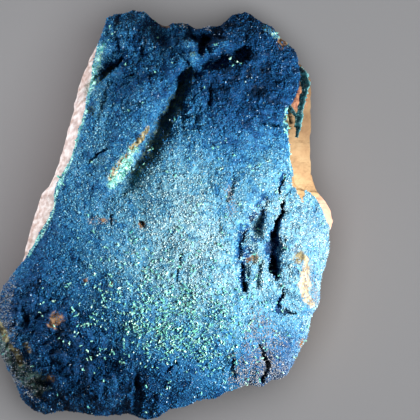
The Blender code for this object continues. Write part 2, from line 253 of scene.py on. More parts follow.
def relief(flat):
    """Height of the crusted face: the crest, less soft falls s*b*log(1 + exp(reach/b)) to each side and
    0.0019 of the squared distance from the top of the dome, plus the ledge, the marks, the swells and
    two sizes of lumps."""
    across, up = flat[..., 0], flat[..., 1]
    height = np.full(flat.shape[:-1], CREST)
    for direction, start, steepness in FALLS:
        height -= steepness * BEND * np.logaddexp(0.0, (flat @ np.array(direction) - start) / BEND)
    top_of_dome = np.array((-6.0, -4.0))
    height -= 0.0019 * ((flat - top_of_dome) ** 2).sum(axis=-1)
    rugged = ease(up, 12.0, 24.0) * (1.0 - 0.5 * ease(across, 8.0, 18.0))
    rugged = np.maximum(rugged, ease(-across - up, 30.0, 46.0))
    wander = np.stack([flat_noise(flat, 1.6, 24), flat_noise(flat, 1.6, 25)], axis=-1)
    ragged = np.stack([flat_noise(flat, 0.7, 26), flat_noise(flat, 0.7, 27)], axis=-1)
    wandered = flat + 0.4 * wander + 0.25 * ragged
    near, side, reach = from_line(wandered, LEDGE)
    beyond = np.where(side > 0.0, near, -near)
    fading = ease(reach, -1.0, 4.0) * (1.0 - ease(reach, 26.0, 31.0) * ease(near, 0.0, 5.0))
    fading = fading * (1.0 - 0.5 * ease(reach, 24.0, 31.0))
    block = 3.0 * (1.0 - ease(beyond, -0.9, 1.2)) * (1.0 - 0.7 * ease(-beyond, 3.0, 16.0))
    height += fading * block - 2.4 * np.exp(-(0.75 * beside(wandered, HOLLOW)) ** 2)
    broken = 1.0 + 0.5 * flat_noise(flat, 1.3, 28)
    for line, rise in LINES:
        height += rise * broken * np.exp(-(beside(wandered, line) ** 3))
    for place, radius, rise in KNOBS:
        off = wandered - np.array(place)
        height += rise * np.exp(-(np.hypot(off[..., 0], off[..., 1]) / radius) ** 3)
    for rise, wavelength, bearing, phase in SWELLS:
        turn = np.radians(bearing)
        travel = flat @ np.array([np.cos(turn), np.sin(turn)])
        height += rise * np.sin(2.0 * np.pi * travel / wavelength + phase)
    height += (0.10 + 0.25 * rugged) * flat_noise(flat, 3.4, 21)
    height += (0.20 + 1.15 * rugged) * (np.abs(flat_noise(wandered, 2.6, 22)) - 0.25)
    return height + (0.26 + 0.50 * rugged) * np.abs(flat_noise(wandered, 1.1, 23))


# The size of the face, and how far in from its sides the rim rolls down.
FACE_WIDTH = 66.7
FACE_HEIGHT = 81.8
ROLLED_RIM = 6.0


def roll(u, v, flat):
    """How far the rim rolls down: the square root of the summed squares of d(1 - e/w)^2 for the four
    sides.  There e is the distance to a side, w the rolled rim's width and d the drop at the side,
    which is small beside bare rock."""
    up = flat[..., 1]
    wrapped_left = 1.0 - ease(up, -11.0, -7.0)
    wrapped_right = 1.0 - ease(up, -3.5, 0.5)
    sides = (
        (1.4 + 3.2 * wrapped_left, u * FACE_WIDTH),
        (1.2 + 2.6 * wrapped_right, (1.0 - u) * FACE_WIDTH),
        (4.2, v * FACE_HEIGHT),
        (2.6, (1.0 - v) * FACE_HEIGHT),
    )
    squares = (drop ** 2 * np.clip(1.0 - away / ROLLED_RIM, 0.0, 1.0) ** 4 for drop, away in sides)
    return np.sqrt(sum(squares))


def face(u, v):
    """Points of the crusted face, u across it and v up it, both from 0 to 1: the plan moved to the
    middle, at the relief's height less the roll."""
    flat = plan(u, v)
    height = relief(flat) - roll(u, v, flat)
    return np.concatenate([flat - middle_of_outline(), height[..., None]], axis=-1)


def sheet(name, points, joined=False, capped=False):
    """A mesh of four-sided faces over a grid of points, with a map that lays the grid out flat.
    joined closes the last column onto the first, and capped closes both end rows with a fan."""
    rows, columns = points.shape[:2]
    index = np.arange(rows * columns).reshape(rows, columns)
    index = np.column_stack([index, index[:, 0]]) if joined else index
    row, column = np.mgrid[0:index.shape[0] - 1, 0:index.shape[1] - 1].reshape(2, -1)
    steps = [(0, 0), (1, 0), (1, 1), (0, 1)] if joined else [(0, 0), (0, 1), (1, 1), (1, 0)]
    faces = np.stack([index[row + up, column + over] for up, over in steps], axis=-1).tolist()
    map_u = np.stack([column + over for up, over in steps], axis=-1) / (index.shape[1] - 1)
    map_v = np.stack([row + up for up, over in steps], axis=-1) / (index.shape[0] - 1)
    layout = np.stack([map_u, 0.02 + 0.96 * map_v], axis=-1).reshape(-1, 2)
    places = points.reshape(-1, 3)
    if capped:
        first, last = index[0], index[-1]
        places = np.concatenate([places, points[:1].mean(axis=1), points[-1:].mean(axis=1)])
        faces += np.stack([first[:-1], first[1:], np.full(columns, len(places) - 2)], -1).tolist()
        faces += np.stack([last[1:], last[:-1], np.full(columns, len(places) - 1)], -1).tolist()
        here = np.arange(columns)[:, None] / columns
        beyond = here + 1 / columns
        steady = np.ones((columns, 1))
        low = np.stack([np.hstack([here, beyond, here]), steady * [0.02, 0.02, 0.0]], -1)
        high = np.stack([np.hstack([beyond, here, here]), steady * [0.98, 0.98, 1.0]], -1)
        layout = np.concatenate([layout, low.reshape(-1, 2), high.reshape(-1, 2)])
    mesh = bpy.data.meshes.new(name)
    mesh.from_pydata(places * 0.001, [], faces)
    mesh.uv_layers.new(name="OFBake").uv.foreach_set("vector", layout.astype(np.float32).ravel())
    return mesh


def add_piece(mesh, material, slot, *nodes):
    """An object for a finished mesh, which rides on the specimen and stands for these solids."""
    piece = bpy.data.objects.new(mesh.name, mesh)
    bpy.context.scene.collection.objects.link(piece)
    piece.data.materials.append(material)
    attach(piece, "root")
    if nodes:
        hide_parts(*nodes)


def rim(turn):
    """u and v on the way round the crust's edge, counter-clockwise, turn going from 0 to 4."""
    side, share = np.floor(turn).astype(int) % 4, turn % 1.0
    u = np.choose(side, [share, 1.0, 1.0 - share, 0.0])
    v = np.choose(side, [0.0, share, 1.0, 1.0 - share])
    return u * np.ones_like(turn), v * np.ones_like(turn)


def smoothed(line, reach):
    """The running mean of a closed line over this many points to each side."""
    return sum(np.roll(line, step, axis=0) for step in range(-reach, reach + 1)) / (2 * reach + 1)


def outward(line):
    """Unit vectors that point out of a closed line, square to its smoothed run."""
    wide = smoothed(line, 12)
    run = np.roll(wide, -1, axis=0) - np.roll(wide, 1, axis=0)
    return np.stack([run[:, 1], -run[:, 0]], axis=-1) / np.hypot(*run.T)[:, None]


def rock_surface():
    """Rings from under the crust, out over the bare shoulder to the widest line, down the broken sides
    with their beds and chips, and in over the flat base.  Each ring is the rim moved out or in."""
    middle = middle_of_outline()
    points_a_side = (168, 196, 132, 224)
    turns = [np.linspace(side, side + 1.0, count, False) for side, count in enumerate(points_a_side)]
    edge = face(*rim(np.concatenate(turns)))
    out = outward(edge[:, :2])
    up = edge[:, 1] + middle[1]
    widest = edge[:, :2] - 0.35 * out
    for bare, side in ((BARE_LEFT, -1.0), (BARE_RIGHT, 1.0)):
        heights, across = np.array(bare).T
        reach = side * (np.interp(up, heights, across) - middle[0])
        reach += 0.18 * noise(edge, 1.3, 31) - 0.1
        shown = (up > heights[0]) & (up < heights[-1]) & (edge[:, 0] * side > 0.0)
        widest[:, 0] = np.where(shown, side * np.maximum(reach, widest[:, 0] * side), widest[:, 0])
    shoulder = np.maximum(((widest - edge[:, :2]) * out).sum(axis=1), 0.0)
    calm = smoothed(edge[:, 2], 9)
    core, cover = 17.0, 3.4
    # Under the crust.
    rings = []
    for share in (0.05, 0.45, 0.8, 0.94):
        height = core + (edge[:, 2] - cover - core) * share
        rings.append(np.column_stack([edge[:, :2] * share, height]))
    under_crust = len(rings)
    # Over the bare shoulder.
    for share in np.linspace(0.0, 1.0, 12):
        flat = edge[:, :2] - 0.5 * (1.0 - share) ** 2 * out + share * (widest - edge[:, :2])
        drop = 1.25 + (0.5 + 1.25 * shoulder) * (0.5 * share + 0.5 * share ** 2)
        height = edge[:, 2] + (calm - edge[:, 2]) * ease(shoulder * share, 0.2, 1.6)
        rings.append(np.column_stack([flat, height - drop]))
    down_sides = len(rings)
    # Down the sides.
    lip = rings[-1][:, 2]
    body = np.minimum(lip, smoothed(lip, 14))
    even = smoothed(widest, 22)
    for share in np.linspace(0.0, 1.0, 62)[1:]:
        settled = ease(share, 0.0, 0.35)
        height = (lip + (body - lip) * settled) * (1.0 - share)
        line = widest + (even - widest) * settled * 0.8
        spread = 1.0 - 0.10 * ease(share, 0.45, 1.05)
        rings.append(np.column_stack([line * spread, height]))
    points = np.array(rings)
    # Beds and chips in the sides, and grain on the shoulder.
    sides = slice(down_sides, None)
    faced = points[sides]
    share = np.linspace(0.0, 1.0, len(faced))[:, None]
    bite = 1.1 * np.abs(noise(faced, 7.0, 41)) + 0.9 * np.maximum(noise(faced, 3.2, 42), 0.0)
    beds = noise(faced * [0.35, 0.35, 2.4], 2.6, 43)
    bite = bite + 0.55 * np.abs(beds) + 0.16 * noise(faced, 1.1, 44) + 0.16
    bite = bite * ease(share, 0.0, 0.12)
    points[sides, :, :2] -= bite[..., None] * out
    shoulders = slice(under_crust + 1, down_sides + 1)
    grain = 0.16 * noise(points[shoulders], 1.2, 45) + 0.10 * noise(points[shoulders], 0.5, 46)
    points[shoulders, :, 2] += grain * ease(shoulder, 0.2, 1.0)
    # The flat base, inside a bevel.
    base = points[-1].copy()
    inner = [base * [share, share, 0.0] for share in (0.985, 0.7, 0.35, 0.08)]
    points[-1, :, 2] = 0.25
    return np.concatenate([points, np.array(inner)])


def noise_texture(tree, scale, detail, stretch=(1.0, 1.0, 1.0)):
    """Noise on the object's own coordinates, with that many ripples to the metre."""
    place = tree.nodes.new("ShaderNodeTexCoord")
    mapping = tree.nodes.new("ShaderNodeMapping")
    mapping.inputs["Scale"].default_value = stretch
    texture = tree.nodes.new("ShaderNodeTexNoise")
    texture.inputs["Scale"].default_value = scale
    texture.inputs["Detail"].default_value = detail
    tree.links.new(place.outputs["Object"], mapping.inputs["Vector"])
    tree.links.new(mapping.outputs["Vector"], texture.inputs["Vector"])
    return texture.outputs["Fac"]


def ramp(tree, value, *stops):
    """A colour that goes through these (place, colour) stops as the value rises."""
    made = tree.nodes.new("ShaderNodeValToRGB")
    elements = made.color_ramp.elements
    while len(elements) < len(stops):
        elements.new(0.5)
    for element, (place, colour) in zip(elements, stops):
        element.position = place
        element.color = (*colour, 1.0)
    tree.links.new(value, made.inputs["Fac"])
    return made.outputs["Color"]


def blend(tree, share, first, second, how="MIX"):
    """Two colours mixed by a share, which is a socket or a number.  Either may be a plain colour."""
    mix = tree.nodes.new("ShaderNodeMix")
    mix.data_type = "RGBA"
    mix.blend_type = how
    for socket, value in ((mix.inputs[0], share), (mix.inputs[6], first), (mix.inputs[7], second)):
        if isinstance(value, bpy.types.NodeSocket):
            tree.links.new(value, socket)
        else:
            socket.default_value = value if isinstance(value, float) else (*value, 1.0)
    return mix.outputs[2]


def graded(tree, value, low, high):
    """A value carried from the range low to high onto 0 to 1."""
    made = tree.nodes.new("ShaderNodeMapRange")
    made.inputs["From Min"].default_value = low
    made.inputs["From Max"].default_value = high
    tree.links.new(value, made.inputs["Value"])
    return made.outputs["Result"]


def round_spot(tree, place, radius):
    """1 near an upright line through this place and 0 beyond the radius, both in metres."""
    flat = tree.nodes.new("ShaderNodeMapping")
    flat.inputs["Location"].default_value = (-place[0], -place[1], 0.0)
    flat.inputs["Scale"].default_value = (1.0, 1.0, 0.0)
    away = tree.nodes.new("ShaderNodeVectorMath")
    away.operation = "LENGTH"
    tree.links.new(tree.nodes.new("ShaderNodeTexCoord").outputs["Object"], flat.inputs["Vector"])
    tree.links.new(flat.outputs["Vector"], away.inputs[0])
    return graded(tree, away.outputs["Value"], radius, 0.6 * radius)


def finish(name, roughness, **sockets):
    """A new material with its shader's fixed values set on the shader."""
    material = bpy.data.materials.new(name)
    material.use_nodes = True
    shader = material.node_tree.nodes["Principled BSDF"]
    shader.inputs["Roughness"].default_value = roughness
    for socket, value in sockets.items():
        shader.inputs[socket].default_value = value
    return material, material.node_tree, shader


def bumped(tree, shader, height, distance):
    """Fine relief on a shader, from a height between 0 and 1 over this distance in metres."""
    bump = tree.nodes.new("ShaderNodeBump")
    bump.inputs["Distance"].default_value = distance
    tree.links.new(height, bump.inputs["Height"])
    tree.links.new(bump.outputs["Normal"], shader.inputs["Normal"])


siltstone, tree, shader = finish("siltstone", roughness=0.82)
beds = ramp(
    tree, noise_texture(tree, 60.0, 5.0, (0.5, 0.5, 9.0)),
    (0.36, (0.30, 0.17, 0.11)), (0.46, (0.44, 0.31, 0.25)), (0.58, (0.50, 0.39, 0.36)),
)
speckle = ramp(
    tree, noise_texture(tree, 900.0, 6.0),
    (0.38, (0.28, 0.18, 0.16)), (0.50, (0.46, 0.35, 0.33)), (0.62, (0.62, 0.55, 0.53)),
)
pale = blend(tree, 0.6, beds, speckle)
stain = ramp(
    tree, noise_texture(tree, 260.0, 6.0),
    (0.28, (0.215, 0.118, 0.050)), (0.50, (0.275, 0.168, 0.077)), (0.70, (0.315, 0.212, 0.106)),
)
place = tree.nodes.new("ShaderNodeSeparateXYZ")
tree.links.new(tree.nodes.new("ShaderNodeTexCoord").outputs["Object"], place.inputs[0])
stained = graded(tree, place.outputs["X"], -0.004, 0.020)
# Painted shadow of the flake: the tan stain is darker towards the top of the bare rock on the right.
shade = graded(tree, place.outputs["Y"], 0.007, 0.019)
shaded_stain = blend(tree, 1.0, stain, (0.50, 0.46, 0.40), "MULTIPLY")
stain = blend(tree, shade, stain, shaded_stain)
colour = blend(tree, stained, pale, stain)
rusted = ramp(
    tree, noise_texture(tree, 900.0, 5.0),
    (0.40, (0.12, 0.04, 0.02)), (0.60, (0.30, 0.13, 0.06)),
)
colour = blend(tree, round_spot(tree, (0.0262, 0.0232), 0.0030), colour, rusted)
colour = blend(tree, round_spot(tree, (0.0335, 0.0005), 0.0050), colour, (0.40, 0.22, 0.15))
tree.links.new(colour, shader.inputs["Base Color"])
bumped(tree, shader, noise_texture(tree, 1500.0, 8.0), distance=0.00018)
rock = sheet("host_rock_stone", rock_surface(), joined=True, capped=True)
add_piece(rock, siltstone, "siltstone", "host_rock")


# The crust.  Cornetite grew over the broken face as a skin of crystals about a millimetre thick, deep
# blue at its root, and darker still as painted shade in the gaps between the crystals.  Here and there it
# is missing or thin, and rusty or creamy rock shows through, and along the foot of the ledge and in some
# hollows it is dark olive, partly painted shade.

# Marks on the crust: a seed for the noise along their edges, then the places.  Each place is a line
# of (across, up, half width), and a line of one point is round.
RUSTY = (51, [
    [(-21.6, -21.0, 1.5)], [(16.9, -9.4, 0.6)], [(-4.4, -2.2, 0.6)],
    [(-10.4, -14.0, 0.5)], [(-12.0, -1.4, 0.6)], [(-22.6, -32.6, 0.9)], [(27.6, -26.0, 1.2)],
    [(0.2, 38.0, 1.2)], [(23.6, 34.4, 1.3)], [(-15.6, -13.2, 0.4)],
])
CREAMY = (53, [
    [(28.3, -8.8, 0.4), (28.2, -11.0, 0.7), (27.8, -14.0, 1.2), (28.2, -16.4, 1.0), (29.4, -18.4, 0.6)],
    [(17.9, -8.8, 0.9)],
    [(-7.2, 11.6, 0.4), (-9.0, 9.6, 0.6), (-10.6, 7.0, 0.5)],
    [(-27.6, -26.0, 0.5), (-26.6, -27.4, 0.4)],
])
TAN = (67, [
    [(24.6, 18.9, 0.9)],
    [(26.8, -8.9, 1.2)],
    [(-3.3, 16.8, 0.4), (-4.4, 14.8, 0.7), (-6.2, 12.9, 0.7)],
    [(-33.2, -21.4, 0.4), (-32.0, -23.6, 0.8), (-31.4, -25.4, 0.6)],
    [(-30.6, -26.2, 0.5), (-29.2, -28.2, 0.9), (-28.6, -30.0, 0.5)],
])
# The deep V in which the tan rock runs into the crust.
SANDY = (69, [[(26.6, 6.6, 1.6), (26.9, 4.9, 1.1), (27.3, 3.4, 0.6), (27.5, 2.4, 0.25)]])
TURQUOISE = (55, [
    [(-5.8, 12.6, 0.7), (-7.4, 10.4, 1.3), (-9.2, 7.6, 1.5), (-10.2, 5.8, 0.9)],
    [(-15.2, 22.0, 0.4), (-14.0, 28.0, 0.8), (-12.6, 33.0, 0.9)],
    [
        (-27.0, -8.4, 0.4), (-22.8, -1.6, 0.45), (-21.0, 5.0, 0.4), (-18.4, 11.0, 0.4),
        (-15.3, 20.6, 0.45),
    ],
    [(24.2, 17.0, 0.6), (24.4, 20.6, 0.6)],
    [(25.0, 9.0, 0.12), (24.9, 13.4, 0.15), (24.5, 17.0, 0.2)],
    [(20.0, 37.4, 0.5), (24.6, 34.0, 0.6)],
    [(5.7, 31.6, 0.5)],
])
# Dark olive along the foot of the ledge and in some hollows, partly painted shade.
OLIVE_AND_SHADE = (57, [
    [
        (5.2, 28.4, 1.0), (3.4, 24.4, 1.3), (0.8, 18.8, 1.6), (-1.4, 14.0, 1.6), (-3.4, 11.0, 1.6),
        (-5.4, 8.4, 1.2),
    ],
    [(-10.4, 29.0, 0.5), (-13.6, 26.0, 0.8)],
    [(-14.4, 20.4, 0.9)],
    [(-29.0, -30.6, 1.6), (-25.0, -34.4, 2.2)],
    [(-33.4, -24.0, 1.6), (-31.4, -28.6, 1.6)],
])
# Painted shade in the slits and narrow hollows, where the tint is darkened.
PAINTED_SLIT_SHADE = (59, [
    [(23.6, 8.0, 0.25), (23.0, 5.6, 0.35), (22.9, 3.8, 0.2)],
    [(23.7, -15.8, 0.25), (22.7, -17.6, 0.4), (22.4, -19.2, 0.5), (25.6, -19.8, 0.2)],
    [(23.7, 1.0, 0.35), (22.0, -3.4, 0.6), (21.4, -7.0, 1.5), (21.7, -10.4, 1.0), (22.2, -13.0, 0.4)],
    [(15.2, -4.6, 0.3), (14.8, -8.6, 0.4)],
    [(15.3, -10.6, 0.3), (15.4, -12.8, 0.5), (15.8, -15.2, 0.4)],
    [(19.2, -26.6, 0.3), (20.5, -30.0, 0.7), (19.4, -33.0, 0.4)],
])
# The speckled trough left of the slit.
TROUGH = [(20.0, 2.4, 1.3), (16.8, -3.6, 2.5), (15.8, -8.4, 2.0), (15.6, -15.4, 0.6)]
# Soft paler and deeper places: ((across, up), (half widths), change of tint).
TONES = [
    ((-12.0, -6.0), (10.0, 13.0), 0.03),
    ((7.0, -7.0), (12.0, 13.0), 0.13),
    ((14.0, 6.0), (5.0, 7.0), -0.16),
    ((21.0, -28.0), (8.0, 9.0), -0.24),
    ((3.0, -33.0), (7.0, 6.0), -0.10),
    ((12.0, -32.0), (4.0, 4.0), 0.10),
    ((-16.0, -27.0), (5.5, 7.0), -0.13),
    ((24.0, -27.0), (5.0, 5.0), -0.08),
    ((-12.0, 31.0), (3.0, 6.0), 0.11),
    ((-18.0, 4.0), (3.0, 4.0), 0.07),
    ((6.0, 19.0), (3.5, 6.0), 0.06),
    ((4.0, -9.0), (8.0, 6.0), 0.05),
]


def patches(flat, marks):
    """1 inside the places of a list of marks and 0 outside, with edges broken by noise."""
    seed, places = marks
    broken = 0.35 * flat_noise(flat, 1.0, seed) + 0.30 * flat_noise(flat, 0.4, seed + 1)
    share = np.zeros(flat.shape[:-1])
    for line in places:
        across, up, radius = line[0]
        run = line if len(line) > 1 else line + [(across, up + 0.01, radius)]
        share = np.maximum(share, 1.0 - ease(beside(flat, run) + broken, 0.65, 1.15))
    return share


def paleness_and_painted_light(flat):
    """From 0, black blue, to 1, pale blue: 0.28, plus 0.44 of a slope that rises to the right and dies
    out at both ends, plus the soft places, the lumps at the top and noise, less the mottled trough.
    The slope is painted light, paler where the face turns to the right lamp and darker at the top and
    bottom; the paler lumps at the top and left of the block and the darker lower left and upper right
    are painted light and shade as well."""
    across, up = flat[..., 0], flat[..., 1]
    # Painted light: the slope is paler where the face turns to the right lamp and darker at the top and
    # bottom.
    slope = ease(across - 0.66 * np.maximum(-up - 8.0, 0.0), -36.0, 8.0)
    slope = slope * (1.0 - ease(up, 4.0, 26.0)) * (1.0 - 0.8 * ease(-up, 22.0, 37.0))
    slope = slope + 0.8 * ease(across, 24.0, 31.0) * (1.0 - ease(up, 2.0, 7.0)) * (1.0 - slope)
    tone = 0.28 + 0.44 * slope
    for place, spread, change in TONES:
        off = (flat - np.array(place)) / np.array(spread)
        tone += change * np.exp(-(off ** 2).sum(axis=-1))
    # Painted shade: darker at the lower left and on the upper right.
    tone -= 0.06 * ease(-across - up, 26.0, 44.0) + 0.13 * ease(across, 2.0, 12.0) * ease(up, 8.0, 18.0)
    tone -= 0.16 * ease(flat_noise(flat, 1.3, 64), 0.2, 0.7) + 0.06 * flat_noise(flat, 5.0, 63)
    mottled = 0.56 * ease(flat_noise(flat, 0.75, 66), 0.0, 0.2)
    tone -= mottled * np.exp(-(beside(flat, TROUGH) ** 3))
    # Painted highlights on the knob and the ridge at the top.
    tone += 0.16 * np.exp(-(beside(flat, [(5.0, 33.4, 1.2), (5.8, 30.6, 1.2)]) ** 3))
    tone += 0.12 * np.exp(-(beside(flat, [(8.6, 32.4, 1.0), (11.8, 33.8, 1.2)]) ** 3))
    tone += 0.06 * ease(-across, -3.0, 6.0) * ease(up, 14.0, 24.0)
    # Painted light from the left lamp on the left side of the block.
    tone += 0.17 * ease(-across, 9.0, 13.0) * ease(up, 5.0, 13.0) * (1.0 - ease(up, 28.0, 33.0))
    tone += 0.08 * ease(-across, 25.0, 29.0) * (1.0 - ease(-up, 24.0, 30.0))
    return tone


def crust_skin():
    """The face on a grid of a quarter of a millimetre.  Beyond it three more rows on each side lie at
    the inset shares of u and v, lowered by the drops, so that the rim turns down and in."""
    inset = [0.03, 0.002, 0.0005]
    drop = [1.5, 1.3, 0.5]
    columns, rows = 264, 324
    u = np.concatenate([inset, np.linspace(0.0, 1.0, columns), 1.0 - np.array(inset[::-1])])
    v = np.concatenate([inset, np.linspace(0.0, 1.0, rows), 1.0 - np.array(inset[::-1])])
    down_u = np.concatenate([drop, np.zeros(columns), drop[::-1]])
    down_v = np.concatenate([drop, np.zeros(rows), drop[::-1]])
    u, v = np.meshgrid(u, v)
    points = face(u, v)
    points[..., 2] -= np.maximum(*np.meshgrid(down_u, down_v))
    return points


def store(mesh, name, values):
    """Numbers kept under a name on a mesh's points."""
    mesh.attributes.new(name, "FLOAT", "POINT").data.foreach_set("value", values)


skin_points = crust_skin()
skin = sheet("cornetite_skin", skin_points)
flat = skin_points[..., :2].reshape(-1, 2) + middle_of_outline()
store(skin, "rusty", patches(flat, RUSTY))
store(skin, "creamy", patches(flat, CREAMY))
store(skin, "turquoise", patches(flat, TURQUOISE))
store(skin, "olive_and_shade", patches(flat, OLIVE_AND_SHADE))
store(skin, "tan", patches(flat, TAN))
store(skin, "sandy", patches(flat, SANDY))
# The skin's tint is the tone, with its painted light and shade, times 0.88 as painted shade in the gaps
# between crystals, and darker in the slits as painted shade.
store(skin, "tint", 0.88 * paleness_and_painted_light(flat) * (1.0 - 0.8 * patches(flat, PAINTED_SLIT_SHADE)))


def attribute(tree, name):
    """A number stored on the piece's points."""
    made = tree.nodes.new("ShaderNodeAttribute")
    made.attribute_name = name
    return made.outputs["Fac"]


def graded_blue(tree, value):
    """Cornetite's colour, from black blue through deep and sky blue to pale blue."""
    return ramp(
        tree, value,
        (0.00, (0.003, 0.019, 0.050)), (0.20, (0.009, 0.076, 0.208)), (0.42, (0.040, 0.222, 0.415)),
        (0.62, (0.148, 0.405, 0.515)), (0.82, (0.365, 0.570, 0.595)), (1.00, (0.580, 0.725, 0.690)),
    )


root_blue_and_gap_shade, tree, shader = finish("cornetite_root", roughness=0.6)
shader.inputs["Specular IOR Level"].default_value = 0.1
shader.inputs["Specular Tint"].default_value = (0.75, 0.90, 1.0, 1.0)
colour = graded_blue(tree, attribute(tree, "tint"))
# The cloud darkens the skin, which shows in the gaps between crystals: the deep blue of the root, and partly
# painted shade in the gaps.
cloud = ramp(
    tree, noise_texture(tree, 1200.0, 6.0),
    (0.38, (0.10, 0.14, 0.20)), (0.66, (0.60, 0.66, 0.72)),
)
colour = blend(tree, 1.0, colour, cloud, "MULTIPLY")
olive_and_shade_colour = ramp(
    tree, noise_texture(tree, 700.0, 5.0),
    (0.40, (0.014, 0.036, 0.040)), (0.64, (0.080, 0.135, 0.110)),
)
green = ramp(
    tree, noise_texture(tree, 800.0, 5.0),
    (0.38, (0.05, 0.26, 0.22)), (0.62, (0.50, 0.82, 0.66)),
)
grit = noise_texture(tree, 900.0, 5.0)
cream = ramp(tree, grit, (0.40, (0.15, 0.11, 0.065)), (0.60, (0.38, 0.31, 0.205)))
stone = ramp(
    tree, noise_texture(tree, 900.0, 6.0),
    (0.36, (0.03, 0.024, 0.012)), (0.50, (0.14, 0.115, 0.055)), (0.66, (0.33, 0.29, 0.17)),
)
rust = ramp(tree, grit, (0.40, (0.05, 0.025, 0.015)), (0.60, (0.30, 0.17, 0.09)))
sand = ramp(
    tree, noise_texture(tree, 500.0, 5.0),
    (0.35, (0.25, 0.15, 0.066)), (0.65, (0.32, 0.21, 0.10)),
)
# The dark olive is partly painted shade along the foot of the ledge.
colour = blend(tree, attribute(tree, "olive_and_shade"), colour, olive_and_shade_colour)
colour = blend(tree, attribute(tree, "turquoise"), colour, green)
colour = blend(tree, attribute(tree, "creamy"), colour, cream)
colour = blend(tree, attribute(tree, "tan"), colour, stone)
colour = blend(tree, attribute(tree, "rusty"), colour, rust)
colour = blend(tree, attribute(tree, "sandy"), colour, sand)
tree.links.new(colour, shader.inputs["Base Color"])
bumped(tree, shader, noise_texture(tree, 2600.0, 4.0), distance=0.00012)
add_piece(skin, root_blue_and_gap_shade, "cornetite", "cornetite_crust")


# The druse.  Tens of thousands of cornetite crystals a few tenths of a millimetre long stand on the
# skin, each a stubby four-sided body with a point.  They are rooted in the skin at all angles, and
# their tips are paler than their sides.


def crystal_bodies(rng, roots, normals, width, length, lean):
    """Six corners of each stubby crystal: one in the skin, four round its shoulder and a tip.  Its axis
    is the face's normal leaned over at random."""
    sunk = 0.10
    count = len(roots)
    axis = normals + lean * rng.normal(size=(count, 3))
    axis /= np.linalg.norm(axis, axis=1)[:, None]
    first = np.cross(axis, rng.normal(size=(count, 3)))
    first /= np.linalg.norm(first, axis=1)[:, None]
    second = np.cross(axis, first) * rng.uniform(0.6, 1.0, count)[:, None]
    shoulder = rng.uniform(0.35, 0.7, count) * length
    corners = np.zeros((count, 6, 3))
    corners[:, 0] = -0.5 * width[:, None] * axis
    for corner, (over, back) in enumerate([(1, 0), (0, 1), (-1, 0), (0, -1)]):
        ring = over * first + back * second
        corners[:, corner + 1] = width[:, None] * ring + shoulder[:, None] * axis
    corners[:, 5] = length[:, None] * axis
    return corners + (roots - sunk * normals)[:, None]


def crystal_mesh(name, corners, tint, dull=None):
    """One mesh of many crystals.  Each has its own square of the map, on which it is opened out like a
    star, a number for its tint and, where given, one for how far it turns grey: stony rock in some
    places, painted sheen on the right."""
    count = len(corners)
    turns = [(1, 2), (2, 3), (3, 4), (4, 1)]
    sides = np.array([(a, b, 5) for a, b in turns] + [(b, a, 0) for a, b in turns])
    faces = (sides[None] + 6 * np.arange(count)[:, None, None]).reshape(-1, 3)
    star = 0.5 + 0.28 * np.array([(0, 0), (1, 0), (0, 1), (-1, 0), (0, -1), (0, 0)])
    spread = star[sides]
    spread[4:, 2] = 0.5 + 0.46 * np.array([(0.7, 0.7), (-0.7, 0.7), (-0.7, -0.7), (0.7, -0.7)])
    squares = int(np.ceil(np.sqrt(count)))
    square = np.stack(np.divmod(np.arange(count), squares), axis=-1)
    layout = (square[:, None, None] + spread[None]) / squares
    mesh = bpy.data.meshes.new(name)
    mesh.from_pydata(corners.reshape(-1, 3) * 0.001, [], faces)
    mesh.uv_layers.new(name="OFBake").uv.foreach_set("vector", layout.astype(np.float32).ravel())
    store(mesh, "tint", np.repeat(tint, 6))
    if dull is not None:
        store(mesh, "dull", np.repeat(dull, 6))
    store(mesh, "tip", np.tile([0.0] + [0.6] * 4 + [1.0], count))
    return mesh


def scattered(columns, rows, seed):
    """Places on the face: one at random in each cell of a grid in u and v, thinned to an even spread.
    Gives their plan, roots and normals."""
    rng = np.random.default_rng(seed)
    u, v = np.meshgrid(np.arange(columns), np.arange(rows))
    u = (u.ravel() + rng.uniform(0.0, 1.0, u.size)) / columns
    v = (v.ravel() + rng.uniform(0.0, 1.0, v.size)) / rows
    roots = face(u, v)
    step = 0.0015
    over = face(np.minimum(u + step, 1.0), v) - face(np.maximum(u - step, 0.0), v)
    back = face(u, np.minimum(v + step, 1.0)) - face(u, np.maximum(v - step, 0.0))
    normals = np.cross(over, back)
    area = np.linalg.norm(normals, axis=1)
    normals /= area[:, None]
    kept = rng.uniform(0.0, 1.0, len(u)) < area / np.percentile(area, 80)
    return rng, roots[kept][:, :2] + middle_of_outline(), roots[kept], normals[kept]


# Where crystals are dull and stony.
DULL = (65, [
    [(19.0, -20.6, 2.0), (19.6, -26.0, 5.2), (18.4, -32.0, 5.6)],
    [(19.4, -24.0, 2.0), (20.0, -32.0, 2.6)],
    [(12.6, 5.0, 0.8), (13.6, 0.4, 1.0)],
    [(-14.6, -1.4, 0.7), (-10.0, -1.6, 0.8)],
    [(-30.4, -13.0, 1.0), (-31.6, -20.0, 1.5), (-31.0, -28.0, 2.2), (-26.0, -35.0, 2.6)],
    [(26.0, -7.4, 1.0), (27.6, -10.0, 1.4), (29.8, -17.0, 1.4)],
    [(3.0, 38.6, 1.0), (9.0, 37.4, 0.8)],
])

rng, flat, roots, normals = scattered(columns=296, rows=364, seed=61)
bare = np.zeros(len(flat))
for share, marks in ((0.85, RUSTY), (0.76, CREAMY), (0.95, TAN), (0.6, OLIVE_AND_SHADE), (1.1, SANDY)):
    bare = np.maximum(bare, share * patches(flat, marks))
grown = rng.uniform(0.0, 1.0, len(flat)) > 0.94 * bare
flat, roots, normals = flat[grown], roots[grown], normals[grown]
count = len(flat)
width = 0.135 * np.exp(0.25 * rng.normal(size=count))
length = width * rng.uniform(1.4, 2.4, count)
corners = crystal_bodies(rng, roots, normals, width, length, lean=0.42)

